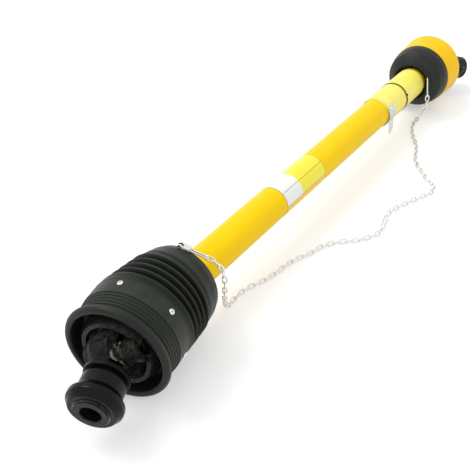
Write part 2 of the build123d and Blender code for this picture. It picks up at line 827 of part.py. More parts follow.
def chain_link():
    """One welded link along X, with flats in place of its round wire."""
    half = (chain_pitch + chain_play) / 2
    side = chain_slot / 2
    cut = side * link_corner
    hole = make_face(Polyline(
        (half, side - cut), (half - cut, side), (cut - half, side), (-half, side - cut),
        (-half, cut - side), (cut - half, -side), (half - cut, -side), (half, cut - side), close=True))
    outline = offset(hole, chain_wire, kind=Kind.INTERSECTION)
    link = extrude(outline - hole, chain_wire / 2, both=True)
    rims = [edge for edge in link.edges() if abs(abs(edge.center().Z) - chain_wire / 2) < 0.01]
    return chamfer(rims, chain_wire * link_chamfer)


def chain(points, first_roll):
    """Links one after another, hooked through each other along a smooth line."""
    line = Spline(*points)
    link = chain_link()
    links = []
    travelled = 0
    start = line.position_at(0)
    while travelled + chain_pitch < line.length:
        travelled += chain_pitch
        for _ in range(4):
            end = line.position_at(travelled, position_mode=PositionMode.LENGTH)
            travelled += chain_pitch - (end - start).length
        lie = Plane(origin=(start + end) / 2, x_dir=end - start, z_dir=upright(end - start))
        twist = (first_roll - chain_roll) * max(0, 1 - len(links) / chain_ease)
        links.append(lie.location * Rot(chain_roll + twist + 90 * (len(links) % 2), 0, 0) * link)
        start = end
    return links, start


def upright(heading):
    """The direction square to a link that is nearest to straight up."""
    up = Vector(0, 0, 1) if abs(heading.Z) < 0.8 * heading.length else Vector(0, 1, 0)
    unit = heading.normalized()
    return up - unit * up.dot(unit)


# Frames of the bodies at rest, and the floor under the lip of the bell and the far ring
fork_frame = Rot(fork_roll, 0, 0)
cross_frame = fork_frame * Rot(0, inner_turn, 0)
housing_frame = cross_frame * Rot(0, 0, inner_swing)
outer_cross_frame = housing_frame * Pos(-cross_spacing, 0, 0) * Rot(0, 0, inner_swing)
yoke_frame = outer_cross_frame * Rot(0, inner_turn, 0)
far_frame = Pos(implement_cross, 0, 0) * Rot(implement_roll, 0, 0)
implement_frame = far_frame * Rot(0, 0, implement_swing)
half_turn = Rot(0, 0, 180)
quarter_turn = Rot(90, 0, 0)

lip_centre = (housing_frame * Pos(-bell_neck - lip_length / 2, 0, 0)).position
bell_axis = (housing_frame * Pos(-1, 0, 0)).position
lip_low = lip_centre.Z - lip_radius * sqrt(1 - bell_axis.Z ** 2)
floor_fall = degrees(atan2(-ring_end_radius - lip_low, ring_end - lip_centre.X))
bore_mouth = (yoke_frame * half_turn * Pos(yoke_length, 0, 0)).position
stand = Rot(0, floor_fall, 0)
set_down = Pos(-(stand * Pos(bore_mouth)).position) * stand


def on_floor(places):
    """Points of a chain that lies on the floor."""
    rise = tan(radians(floor_fall))
    return [(x, y, lip_low + (x - lip_centre.X) * rise + chain_lie) for x, y in places]


def near_chain_points():
    return [near_hook_end] + near_drop + on_floor(near_run)


def far_chain_points():
    return [far_hook_end] + far_rise + on_floor(far_run)


def in_frame(frame, piece):
    """Every solid of a piece, or of a list of pieces, moved into a frame."""
    pieces = piece if isinstance(piece, list) else [piece]
    return [frame * solid for item in pieces for solid in item.solids()]


def make_pieces():
    """Every sub-part by name, as a list of solids in the shaft frame."""
    here = Pos(0, 0, 0)
    tractor = yoke_frame * half_turn
    far_fork = far_frame * half_turn
    implement = implement_frame * quarter_turn
    ring_outer = guard_radius + 1 - ring_running_play
    inner_growth = -outer_tube_wall - tube_slip
    socket_roll = 180 + implement_roll - fork_roll
    near_links, near_end = chain(near_chain_points(), near_hook_roll + 90)
    far_links, far_end = chain(far_chain_points(), far_hook_roll + 90)
    join_roll = chain_roll + 90 * (len(near_links) % 2)
    inner_tube = fork_frame * profile_tube(
        inner_growth, inner_tube_wall, inner_tube_start, implement_cross - socket_start - side_play)
    return {
        "outer_profile_tube": in_frame(fork_frame, profile_tube(
            0, outer_tube_wall, socket_start + side_play, outer_tube_end) - roll_pin_hole()),
        "tractor_inner_yoke": in_frame(fork_frame, tube_yoke(0, 0)),
        "tractor_roll_pin": in_frame(fork_frame, roll_pin()),
        "inner_cross_yoke_cups": in_frame(fork_frame, both_sides(bearing_cap())),
        "inner_cross_yoke_snap_rings": in_frame(fork_frame, both_sides(snap_ring())),
        "rubber_bellows": in_frame(here, bellows(housing_frame)),
        "inner_cross": in_frame(cross_frame, spider()),
        "inner_grease_nipple": in_frame(cross_frame, grease_nipple()),
        "centre_housing": in_frame(housing_frame, centre_housing()),
        "housing_cups": in_frame(housing_frame, at_both_crosses(bearing_cap())),
        "housing_snap_rings": in_frame(housing_frame, at_both_crosses(snap_ring())),
        "outer_cross": in_frame(outer_cross_frame, spider()),
        "outer_grease_nipple": in_frame(outer_cross_frame, grease_nipple()),
        "tractor_yoke": in_frame(tractor, tractor_yoke()),
        "tractor_yoke_cups": in_frame(tractor, both_sides(bearing_cap())),
        "tractor_yoke_snap_rings": in_frame(tractor, both_sides(snap_ring())),
        "locking_balls": in_frame(tractor, locking_balls()),
        "collar_spring": in_frame(tractor, collar_spring()),
        "collar_keeper_ring": in_frame(tractor, keeper_ring()),
        "pull_collar": in_frame(tractor, pull_collar()),
        "guard_bell": in_frame(housing_frame, bell()),
        "bell_bearing_ring": in_frame(housing_frame, housing_ring()),
        "bell_screws": in_frame(housing_frame, bell_screws()),
        "outer_guard_tube": in_frame(here, pipe(
            guard_radius, guard_radius - guard_wall, guard_start, guard_end)),
        "base_cone": in_frame(here, base_cone()),
        "tractor_bearing_ring": in_frame(here, bearing_ring(ring_outer)),
        "white_label_field": in_frame(here, wrap(
            label_start, label_split, guard_radius + label_gap, label_thickness, label_turn, 90)),
        "yellow_label_field": in_frame(here, wrap(
            label_split, label_end, guard_radius + label_gap, label_thickness, label_turn, 90)),
        "booklet": in_frame(here, booklet()),
        "booklet_band": in_frame(here, booklet_band()),
        "clear_film_flap": in_frame(here, film_flap()),
        "near_chain_hook": in_frame(here, hook(near_eye, near_hook_end, near_hook_roll)),
        "near_chain": near_links,
        "chain_join_hook": in_frame(here, join_hook(near_end, far_end, join_roll)),
        "inner_profile_tube": in_frame(here, inner_tube - far_fork * roll_pin_hole()),
        "implement_inner_yoke": in_frame(far_fork, tube_yoke(inner_growth, socket_roll)),
        "implement_roll_pin": in_frame(far_fork, roll_pin()),
        "implement_inner_cups": in_frame(far_fork, both_sides(bearing_cap())),
        "implement_inner_snap_rings": in_frame(far_fork, both_sides(snap_ring())),
        "implement_cross": in_frame(far_frame, spider()),
        "implement_grease_nipple": in_frame(far_frame, grease_nipple()),
        "implement_yoke": in_frame(implement, implement_yoke()),
        "implement_yoke_cups": in_frame(implement, both_sides(bearing_cap())),
        "implement_yoke_snap_rings": in_frame(implement, both_sides(snap_ring())),
        "quick_release_pin": in_frame(implement, quick_pin()),
        "quick_release_spring": in_frame(implement, quick_pin_spring()),
        "inner_guard_tube": in_frame(here, pipe(
            guard_radius - guard_wall - guard_gap,
            guard_radius - guard_wall - guard_gap - inner_guard_wall,
            inner_guard_start, inner_guard_end)),
        "implement_funnel": in_frame(here, far_funnel()),
        "yellow_guard_ring": in_frame(here, far_ring()),
        "implement_bearing_ring": in_frame(Pos(implement_cross, 0, 0) * half_turn, bearing_ring(ring_outer)),
        "far_chain": far_links,
        "far_chain_hook": in_frame(here, hook(far_eye, far_hook_end, far_hook_roll)),
    }


def main():
    os.makedirs("parts", exist_ok=True)
    for name, solids in make_pieces().items():
        placed = [set_down * solid for solid in solids]
        export_step(Compound(placed) if len(placed) > 1 else placed[0], f"parts/{name}.step")
        print(f"{name}: {len(placed)} solid(s)")


if __name__ == "__main__":
    main()
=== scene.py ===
# %% [markdown]
# This lesson dresses a tractor drive shaft whose solids come from a CAD frame. The frame gives every
# steel and plastic part at its true size and place. What is left for us is the finish of each surface
# and the soft or thin pieces that CAD keeps plain: the rubber boot, the chain, the booklet and the film.

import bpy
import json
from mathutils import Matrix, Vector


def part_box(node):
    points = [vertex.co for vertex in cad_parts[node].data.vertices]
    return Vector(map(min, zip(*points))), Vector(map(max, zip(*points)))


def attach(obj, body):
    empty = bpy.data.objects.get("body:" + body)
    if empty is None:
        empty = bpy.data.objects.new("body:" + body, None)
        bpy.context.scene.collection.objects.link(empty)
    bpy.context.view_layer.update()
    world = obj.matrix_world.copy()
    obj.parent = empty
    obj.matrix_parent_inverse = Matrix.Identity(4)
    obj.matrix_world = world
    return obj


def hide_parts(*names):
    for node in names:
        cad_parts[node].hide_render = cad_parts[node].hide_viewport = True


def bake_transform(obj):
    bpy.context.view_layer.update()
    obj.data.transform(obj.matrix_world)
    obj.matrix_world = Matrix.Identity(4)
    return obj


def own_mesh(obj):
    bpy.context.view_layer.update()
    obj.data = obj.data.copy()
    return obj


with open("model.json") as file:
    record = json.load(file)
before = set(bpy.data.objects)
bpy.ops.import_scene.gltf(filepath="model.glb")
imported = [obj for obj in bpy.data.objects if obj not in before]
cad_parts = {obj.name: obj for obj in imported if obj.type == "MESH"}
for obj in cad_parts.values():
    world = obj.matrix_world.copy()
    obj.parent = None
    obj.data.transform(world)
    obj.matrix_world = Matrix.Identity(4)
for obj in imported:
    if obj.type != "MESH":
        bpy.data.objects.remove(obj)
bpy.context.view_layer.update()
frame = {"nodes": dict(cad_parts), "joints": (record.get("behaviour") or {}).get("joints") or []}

import json
from math import cos, exp, pi, radians, sin

import bmesh
import bpy
import numpy as np
from mathutils import Matrix, Quaternion, Vector, noise

nodes = frame["nodes"]
joints = {joint["name"]: joint for joint in frame["joints"]}

# %% [markdown]
# Everything that we add is placed from the joints, because a joint's axis is the true centre line of
# what turns on it. A place matrix has its X axis on that line, so each new piece can be modelled on X
# at the origin and set down once it is finished. The shaft and the bell each have such a line, and the
# two lines meet at the inner cross of the wide-angle joint.

# %% Centre lines of the shaft and the bell
def place_on(axis, origin):
    """A matrix whose X axis lies on the given direction."""
    x = Vector(axis).normalized()
    y = Vector((0, 0, 1)).cross(x).normalized()
    z = x.cross(y)
    turn = Matrix((x, y, z)).transposed().to_4x4()
    return Matrix.Translation(Vector(origin)) @ turn


cross_place = Vector(joints["near_guard_spin"]["pos_m"])
shaft_line = place_on(joints["near_guard_spin"]["axis"], cross_place)
bell_line = place_on(joints["bell_spin"]["axis"], cross_place)
print("inner cross at", [round(value, 4) for value in cross_place])

# %% [markdown]
# The camera stands where the photographer stood. Its lens and place were found by fitting the round
# rims of the bell and of the yellow ring, which are circles of known size. It looks down on the shaft
# from the tractor end. The image is square, so the sensor's width alone sets the field of view.

# %% Camera
camera_place = Vector((-0.6439, -0.7061, 1.0172))
camera_target = Vector((0.4343, 0.0127, 0.0787))
camera_roll = radians(-0.67)
camera_lens = 65.87

camera = bpy.data.objects.new("camera", bpy.data.cameras.new("camera"))
bpy.context.scene.collection.objects.link(camera)
camera.data.lens = camera_lens
camera.data.sensor_width = 36
camera.data.clip_end = 50
camera.rotation_mode = "QUATERNION"
aim = (camera_target - camera_place).to_track_quat("-Z", "Y")
camera.rotation_quaternion = aim @ Quaternion((0, 0, 1), camera_roll)
camera.location = camera_place
bpy.context.scene.camera = camera
print("camera to target:", round((camera_target - camera_place).length, 3), "m")

# %% [markdown]
# Small helpers keep the later cells short. One adds a shader node and fills its sockets, whether with
# a plain value or with a link from another node. The others turn a bmesh into an object and shade it
# smooth with a limit on the angle, so that a moulded edge stays crisp and a round wall stays round.

# %% Helpers for shader nodes and for finished meshes
def add_node(tree, kind, values=None, **settings):
    """A shader node, with its inputs filled by value or by link."""
    made = tree.nodes.new(kind)
    for name, value in settings.items():
        setattr(made, name, value)
    for name, value in (values or {}).items():
        if isinstance(value, bpy.types.NodeSocket):
            tree.links.new(value, made.inputs[name])
        else:
            made.inputs[name].default_value = value
    return made


def finish_mesh(name, shape, place=None, angle=35):
    """Makes an object of a bmesh, with its place in the mesh."""
    if place is not None:
        shape.transform(place)
    bmesh.ops.recalc_face_normals(shape, faces=shape.faces)
    mesh = bpy.data.meshes.new(name)
    shape.to_mesh(mesh)
    shape.free()
    mesh.shade_smooth()
    mesh.set_sharp_from_angle(angle=radians(angle))
    piece = bpy.data.objects.new(name, mesh)
    bpy.context.scene.collection.objects.link(piece)
    print(name, "has", len(mesh.polygons), "faces")
    return piece


def settle(piece, material, body, slot, *stands_for):
    """Gives a piece its material, its body and the CAD nodes that it stands for; its slot is not used."""
    piece.data.materials.clear()
    piece.data.materials.append(material)
    if body:
        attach(piece, body)
    if stands_for:
        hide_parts(*stands_for)
    return piece


# %% [markdown]
# Moulded plastic is never one flat colour. It has a fine spark-eroded grain, faint clouds from the
# melt, and a dull film of dust that stays in the hollows while the ridges are rubbed bright. A node
# group holds this once. Its inputs are the colour, the grain and the dust, and each plastic part
# places the group with its own numbers.

# %% Node group for moulded plastic and rubber
def new_group(name, inputs, outputs):
    """An empty node group with named sockets."""
    tree = bpy.data.node_groups.new(name, "ShaderNodeTree")
    for label, kind, value in inputs:
        socket = tree.interface.new_socket(label, in_out="INPUT", socket_type="NodeSocket" + kind)
        if kind != "Vector":
            socket.default_value = value
    for label, kind in outputs:
        tree.interface.new_socket(label, in_out="OUTPUT", socket_type="NodeSocket" + kind)
    start = tree.nodes.new("NodeGroupInput").outputs
    end = tree.nodes.new("NodeGroupOutput").inputs
    return tree, start, end


def object_noise(tree, scale, detail=4, roughness=0.55):
    """Noise on object coordinates, in the piece's own metres."""
    where = add_node(tree, "ShaderNodeTexCoord").outputs["Object"]
    return add_node(tree, "ShaderNodeTexNoise", {
        "Vector": where, "Scale": scale, "Detail": detail, "Roughness": roughness}).outputs["Fac"]


def ramp(tree, source, low, high, low_value=0.0, high_value=1.0):
    """Stretches a value between two limits."""
    return add_node(tree, "ShaderNodeMapRange", {
        "Value": source, "From Min": low, "From Max": high,
        "To Min": low_value, "To Max": high_value}).outputs["Result"]


def mixed(tree, share, first, second):
    """A mix of two colours."""
    made = add_node(tree, "ShaderNodeMix", data_type="RGBA")
    for socket, value in ((made.inputs[0], share), (made.inputs[6], first), (made.inputs[7], second)):
        if isinstance(value, bpy.types.NodeSocket):
            tree.links.new(value, socket)
        else:
            socket.default_value = value
    return made.outputs[2]


def calc(tree, operation, first, second):
    """One step of arithmetic."""
    made = add_node(tree, "ShaderNodeMath", operation=operation)
    for socket, value in ((made.inputs[0], first), (made.inputs[1], second)):
        if isinstance(value, bpy.types.NodeSocket):
            tree.links.new(value, socket)
        else:
            socket.default_value = value
    return made.outputs[0]


plastic_group, given, out = new_group(
    "moulded_plastic",
    [("Colour", "Color", (0.5, 0.5, 0.5, 1)), ("Rubbed colour", "Color", (0.6, 0.6, 0.6, 1)),
     ("Dust colour", "Color", (0.45, 0.45, 0.42, 1)), ("Dust", "Float", 0.1), ("Gloss", "Float", 0.45),
     ("Grain scale", "Float", 900.0), ("Grain height", "Float", 0.1)],
    [("Colour", "Color"), ("Roughness", "Float"), ("Normal", "Vector")])
tree = plastic_group
clouds = object_noise(tree, scale=14.0, detail=3)
specks = object_noise(tree, scale=260.0, detail=6, roughness=0.7)
scuffs = object_noise(tree, scale=55.0, detail=8, roughness=0.75)
edge = add_node(tree, "ShaderNodeNewGeometry").outputs["Pointiness"]
ridge = ramp(tree, edge, 0.505, 0.56)
hollow = ramp(tree, edge, 0.5, 0.46)
rubbed = calc(tree, "MULTIPLY", ridge, ramp(tree, scuffs, 0.35, 0.6, 0.25, 0.9))
cloud_share = ramp(tree, clouds, 0.3, 0.7, 0.0, 0.35)
body_colour = mixed(tree, cloud_share, given["Colour"], given["Rubbed colour"])
body_colour = mixed(tree, rubbed, body_colour, given["Rubbed colour"])
speck_dust = ramp(tree, specks, 0.6, 0.8, 0.0, 0.7)
dust_mask = calc(tree, "MAXIMUM", speck_dust, calc(tree, "MULTIPLY", hollow, 0.6))
dust_mask = calc(tree, "MULTIPLY", dust_mask, given["Dust"])
tree.links.new(mixed(tree, dust_mask, body_colour, given["Dust colour"]), out["Colour"])
rough = calc(tree, "ADD", given["Gloss"], ramp(tree, scuffs, 0.3, 0.7, -0.05, 0.09))
tree.links.new(calc(tree, "ADD", rough, calc(tree, "MULTIPLY", dust_mask, 0.4)), out["Roughness"])
grain_where = add_node(tree, "ShaderNodeTexCoord").outputs["Object"]
grain = add_node(tree, "ShaderNodeTexNoise", {
    "Vector": grain_where, "Scale": given["Grain scale"], "Detail": 2.0}).outputs["Fac"]
grain_height = calc(tree, "ADD", grain, calc(tree, "MULTIPLY", scuffs, 0.4))
grain_bump = add_node(tree, "ShaderNodeBump", {
    "Height": grain_height, "Strength": given["Grain height"], "Distance": 0.0006})
tree.links.new(grain_bump.outputs["Normal"], out["Normal"])
print("moulded_plastic group has", len(tree.nodes), "nodes")

# %% [markdown]
# Painted forgings and plated wire share another effect: a coat that is worn through on the edges, with
# another metal under it. The group gives the mixed colour, a mask of the bare metal for the Metallic
# socket, a roughness and a normal with the lumps of a forged or plated skin.

# %% Node group for coated metal
metal_group, given, out = new_group(
    "coated_metal",
    [("Coat colour", "Color", (0.1, 0.1, 0.1, 1)), ("Bare colour", "Color", (0.5, 0.5, 0.5, 1)),
     ("Stain colour", "Color", (0.2, 0.15, 0.1, 1)), ("Wear", "Float", 0.5), ("Stain", "Float", 0.1),
     ("Gloss", "Float", 0.4), ("Lump scale", "Float", 300.0), ("Lump height", "Float", 0.15)],
    [("Colour", "Color"), ("Bare", "Float"), ("Roughness", "Float"), ("Normal", "Vector")])
tree = metal_group
scratches = object_noise(tree, scale=120.0, detail=8, roughness=0.8)
patches = object_noise(tree, scale=30.0, detail=5, roughness=0.6)
edge = add_node(tree, "ShaderNodeNewGeometry").outputs["Pointiness"]
ridge = ramp(tree, edge, 0.51, 0.6)
bare = calc(tree, "MULTIPLY", ridge, ramp(tree, scratches, 0.42, 0.58))
bare = calc(tree, "MULTIPLY", bare, given["Wear"])
tree.links.new(bare, out["Bare"])
stained = calc(tree, "MULTIPLY", ramp(tree, patches, 0.5, 0.75), given["Stain"])
skin = mixed(tree, stained, given["Coat colour"], given["Stain colour"])
tree.links.new(mixed(tree, bare, skin, given["Bare colour"]), out["Colour"])
rough = calc(tree, "ADD", given["Gloss"], ramp(tree, patches, 0.3, 0.7, -0.06, 0.12))
tree.links.new(calc(tree, "ADD", rough, calc(tree, "MULTIPLY", stained, 0.3)), out["Roughness"])
lump_where = add_node(tree, "ShaderNodeTexCoord").outputs["Object"]
lumps = add_node(tree, "ShaderNodeTexNoise", {
    "Vector": lump_where, "Scale": given["Lump scale"], "Detail": 3.0}).outputs["Fac"]
lump_bump = add_node(tree, "ShaderNodeBump", {
    "Height": lumps, "Strength": given["Lump height"], "Distance": 0.0008})
tree.links.new(lump_bump.outputs["Normal"], out["Normal"])
print("coated_metal group has", len(tree.nodes), "nodes")


# %% [markdown]
# Each finish now takes one short call. The shader stays outside the groups, and what is the same all
# over a surface, such as its metallic value, is written on the shader itself.

# %% Finishes of plastic, rubber and metal
def new_material(name):
    """A material with its node tree and its shader."""
    material = bpy.data.materials.new(name)
    material.use_nodes = True
    shader = material.node_tree.nodes["Principled BSDF"]
    return material, material.node_tree, shader


def grouped(name, group_tree, values, shine):
    """A material whose colour, roughness and normal come from a node group."""
    material, tree, shader = new_material(name)
    group = add_node(tree, "ShaderNodeGroup", node_tree=group_tree)
    for label, value in values.items():
        group.inputs[label].default_value = (*value, 1) if isinstance(value, tuple) else value
    tree.links.new(group.outputs["Colour"], shader.inputs["Base Color"])
    tree.links.new(group.outputs["Roughness"], shader.inputs["Roughness"])
    tree.links.new(group.outputs["Normal"], shader.inputs["Normal"])
    shader.inputs["Specular IOR Level"].default_value = shine
    return material, tree, shader, group


def plastic(name, colour, rubbed, dust=0.1, gloss=0.45, grain=900.0, height=0.1, shine=0.2):
    """A moulded or extruded plastic, or a rubber."""
    return grouped(name, plastic_group, {
        "Colour": colour, "Rubbed colour": rubbed, "Dust colour": (0.45, 0.45, 0.42), "Dust": dust,
        "Gloss": gloss, "Grain scale": grain, "Grain height": height}, shine)[0]


def metal(name, coat, bare, wear=0.5, stain=0.1, gloss=0.4, lumps=300.0, height=0.15, shine=0.2,
          stain_colour=(0.12, 0.08, 0.05)):
    """A coated forging, whose bare metal shows where the coat is worn."""
    material, tree, shader, group = grouped(name, metal_group, {
        "Coat colour": coat, "Bare colour": bare, "Stain colour": stain_colour, "Wear": wear,
        "Stain": stain, "Gloss": gloss, "Lump scale": lumps, "Lump height": height}, shine)
    tree.links.new(group.outputs["Bare"], shader.inputs["Metallic"])
    return material


def bare_metal(name, colour, worn, **settings):
    """A metal all over, such as zinc plate or bearing steel."""
    material = metal(name, colour, worn, shine=0.5, **settings)
    shader = material.node_tree.nodes["Principled BSDF"]
    material.node_tree.links.remove(shader.inputs["Metallic"].links[0])
    shader.inputs["Metallic"].default_value = 1.0
    return material


tube_colour = (1.0, 0.61, 0.0)
tube_yellow = plastic("tube_yellow", tube_colour, (1.0, 0.67, 0.0), dust=0.02, gloss=0.36, grain=500.0,
                      height=0.04, shine=0.12)
ring_yellow = plastic("ring_yellow", (1.0, 0.58, 0.0), (1.0, 0.65, 0.0), dust=0.02, gloss=0.38,
                      grain=700.0, height=0.06, shine=0.12)
shell_black = plastic("shell_black", (0.0115, 0.0150, 0.0110), (0.030, 0.036, 0.029), dust=0.07,
                      gloss=0.4, grain=1100.0, height=0.14, shine=0.2)
boot_black = plastic("boot_black", (0.0065, 0.0090, 0.0062), (0.020, 0.025, 0.019), dust=0.08,
                     gloss=0.4, grain=1300.0, height=0.1, shine=0.16)
nylon = plastic("nylon", (0.030, 0.031, 0.028), (0.07, 0.07, 0.065), dust=0.1, gloss=0.45)
forged_black = metal("forged_black", (0.0042, 0.0056, 0.0040), (0.3, 0.29, 0.27), wear=0.12,
                     stain=0.04, gloss=0.3, lumps=260.0, height=0.1, shine=0.12)
collar_black = metal("collar_black", (0.0035, 0.0045, 0.0042), (0.2, 0.2, 0.2), wear=0.1, stain=0.03,
                     gloss=0.2, lumps=700.0, height=0.04, shine=0.15)
bearing_steel = bare_metal("bearing_steel", (0.16, 0.16, 0.15), (0.3, 0.3, 0.29), stain=0.5, gloss=0.35,
                           lumps=900.0, height=0.05)
spring_steel = bare_metal("spring_steel", (0.12, 0.12, 0.12), (0.3, 0.3, 0.3), stain=0.3, lumps=800.0,
                          height=0.05)
tube_steel = bare_metal("tube_steel", (0.42, 0.41, 0.4), (0.55, 0.55, 0.54), stain=0.5, lumps=200.0,
                        height=0.1)
zinc_plate = bare_metal("zinc_plate", (0.80, 0.79, 0.77), (0.88, 0.88, 0.87), stain=0.35, gloss=0.2,
                        lumps=500.0, height=0.12, stain_colour=(0.35, 0.30, 0.22))

# %% [markdown]
# Each CAD node keeps its mesh and gets the finish that the real part has. A dictionary from finish to
# node names reads like a parts list, and the loop fills every material slot of each node's mesh.

# %% Finishes on the CAD nodes
finishes = {
    tube_yellow: ["outer_guard_tube", "inner_guard_tube"],
    ring_yellow: ["yellow_guard_ring"],
    shell_black: ["guard_bell", "base_cone", "implement_funnel"],
    boot_black: ["rubber_bellows", "booklet_band"],
    nylon: ["bell_bearing_ring", "tractor_bearing_ring", "implement_bearing_ring"],
    forged_black: ["tractor_inner_yoke", "centre_housing", "tractor_yoke", "implement_inner_yoke",
                   "implement_yoke"],
    collar_black: ["pull_collar"],
    bearing_steel: ["inner_cross", "outer_cross", "implement_cross", "inner_cross_yoke_cups",
                    "housing_cups", "tractor_yoke_cups", "implement_inner_cups", "implement_yoke_cups",
                    "locking_balls"],
    spring_steel: ["tractor_roll_pin", "implement_roll_pin", "inner_cross_yoke_snap_rings",
                   "housing_snap_rings", "tractor_yoke_snap_rings", "implement_inner_snap_rings",
                   "implement_yoke_snap_rings", "collar_spring", "collar_keeper_ring",
                   "quick_release_spring"],
    tube_steel: ["outer_profile_tube", "inner_profile_tube"],
    zinc_plate: ["near_chain", "far_chain", "near_chain_hook", "far_chain_hook", "chain_join_hook",
                 "bell_screws", "inner_grease_nipple", "outer_grease_nipple", "implement_grease_nipple",
                 "quick_release_pin"],
}


def coat(node, material):
    """Gives a CAD node one finish all over."""
    node.data.materials.clear()
    node.data.materials.append(material)


for material, names in finishes.items():
    for name in names:
        coat(nodes[name], material)
print("CAD nodes with a finish:", sum(len(names) for names in finishes.values()))

# %% [markdown]
# The label is a wrapped film with a white field and a yellow one, left blank here. Its only marks are
# the thin dark line where its panels meet and the lines at its edges. It doesn't close round the tube,
# so the tube's own yellow shows between its two long edges. All come from the distance along the shaft
# and the angle about it, so the effect is a group that both fields share.

# %% Label film
label_ends = (0.4374, 0.5996)
seam_turn = radians(128)
open_from, open_to = radians(177), radians(-128)
tube_radius = 0.0365
line_strength = 0.75

line_group, given, out = new_group(
    "label_lines", [("Line width", "Float", 0.0006)], [("Line", "Float"), ("Open", "Float")])
tree = line_group
where = add_node(tree, "ShaderNodeTexCoord").outputs["Object"]
moved = add_node(
    tree, "ShaderNodeVectorMath", {0: where, 1: cross_place}, operation="SUBTRACT").outputs["Vector"]
along, side, up = (
    add_node(tree, "ShaderNodeVectorMath", {0: moved, 1: axis}, operation="DOT_PRODUCT").outputs["Value"]
    for axis in (Vector(column[:3]) for column in shaft_line.to_3x3().transposed()))
turn = calc(tree, "ARCTAN2", up, side)
near_edge = 1.0
for value, mark, reach in ((turn, seam_turn, tube_radius), (turn, open_from, tube_radius),
                           (along, label_ends[0], 1.0), (along, label_ends[1], 1.0)):
    gap = calc(tree, "ABSOLUTE", calc(tree, "SUBTRACT", value, mark), 0.0)
    near_edge = calc(tree, "MINIMUM", calc(tree, "MULTIPLY", gap, reach), near_edge)
tree.links.new(calc(tree, "LESS_THAN", near_edge, given["Line width"]), out["Line"])
past = calc(tree, "GREATER_THAN", turn, open_from)
tree.links.new(calc(tree, "MAXIMUM", past, calc(tree, "LESS_THAN", turn, open_to)), out["Open"])


def label_film(name, colour, rubbed):
    """Printed film with its lines, for one field of the label."""
    material = plastic(name, colour, rubbed, dust=0.04, gloss=0.3, grain=400.0, height=0.03)
    tree = material.node_tree
    shader = tree.nodes["Principled BSDF"]
    marks = add_node(tree, "ShaderNodeGroup", node_tree=line_group).outputs
    plain = shader.inputs["Base Color"].links[0].from_socket
    printed = mixed(tree, marks["Open"], plain, (*tube_colour, 1))
    line_share = calc(tree, "MULTIPLY", marks["Line"], line_strength)
    lined = mixed(tree, line_share, printed, (0.06, 0.06, 0.05, 1))
    tree.links.new(lined, shader.inputs["Base Color"])
    shader.inputs["Coat Weight"].default_value = 0.3
    return material


coat(nodes["white_label_field"], label_film("label_white", (0.88, 0.88, 0.86), (0.92, 0.92, 0.9)))
coat(nodes["yellow_label_field"], label_film("label_yellow", (0.96, 0.83, 0.03), (0.98, 0.86, 0.06)))

# %% [markdown]
# The bell is a turned shell. Its outline is drawn once, as the distance along the bell's line and the
# radius, and a spin turns it into the part. Between the screwed band and the mouth come five shallow
# steps, each with a hollow that catches a line of light, and then the fat rolled lip.

# %% Bell shell with fine steps and a rolled lip
def arc(centre, radius, first, last, steps):
    """Points on an arc, from one angle to another in degrees."""
    turns = [radians(first + (last - first) * i / steps) for i in range(steps + 1)]
    return [(centre[0] + radius * cos(turn), centre[1] + radius * sin(turn)) for turn in turns]


def spun(outline, sides):
    """A bmesh turned about X from a closed outline of places and radii."""
    shape = bmesh.new()
    verts = [shape.verts.new((x, radius, 0)) for x, radius in outline]
    edges = [shape.edges.new((verts[i - 1], verts[i])) for i in range(len(verts))]
    bmesh.ops.spin(shape, geom=verts + edges, cent=(0, 0, 0), axis=(1, 0, 0), angle=2 * pi,
                   steps=sides, use_merge=True)
    return shape


band_radius = 0.097
band_start, band_end = -0.011, -0.047
neck_end, neck_radius = -0.0805, 0.093
bell_wall = 0.0045
step_count = 5
groove_depth = 0.0020
groove_line = ((0.08, 0.35), (0.18, 0.85), (0.30, 1.0), (0.45, 0.7), (0.60, 0.25), (0.75, 0.04), (0.9, 0.0))
edge_round = 0.0008
ring_cut_depth = 0.0007
shoulder_place = -0.014
bell_sides = 160
lip_round = 0.0085
lip_middle = (-0.0895, 0.092)
lip_inner_round = 0.005
spigot_end, spigot_radius = -0.0045, 0.0922

bell_outline = [(band_start, spigot_radius), (band_start, band_radius - edge_round),
                (band_start - edge_round, band_radius), (band_start - 0.0022, band_radius),
                (band_start - 0.0028, band_radius - ring_cut_depth),
                (band_start - 0.0036, band_radius - ring_cut_depth),
                (band_start - 0.0042, band_radius), (band_end, band_radius)]
step_length = (band_end - neck_end) / step_count
step_fall = (band_radius - neck_radius) / step_count
for i in range(step_count):
    start = band_end - step_length * i
    low = band_radius - step_fall * (i + 1)
    bell_outline += [(start - step_length * share, low - groove_depth * depth)
                     for share, depth in groove_line]
bell_outline += arc(lip_middle, lip_round, 6, 180, 20)
lip_inner = (lip_middle[0] - lip_round + lip_inner_round, lip_middle[1])
bell_outline += arc(lip_inner, lip_inner_round, 190, 270, 6)
bell_outline += [(neck_end, neck_radius - bell_wall - groove_depth), (band_end, band_radius - bell_wall),
                 (shoulder_place, band_radius - bell_wall), (shoulder_place, band_radius - 2 * bell_wall),
                 (spigot_end, band_radius - 2 * bell_wall), (spigot_end, spigot_radius)]
bell_shell = finish_mesh("bell_shell", spun(bell_outline, bell_sides), bell_line, angle=28)
settle(bell_shell, shell_black, "bell", "guard_shell_black", "guard_bell")

# %% [markdown]
# Several CAD nodes hold a row of equal solids, such as the links of a chain. A walk over the edges of
# the node's mesh tells the solids apart. The middle of each and its longest direction then give the
# place for a finer piece, so nothing has to be measured twice. The walk meets the solids in an order
# that changes from run to run, and with it the turn of each screw's recess. The links don't show it.

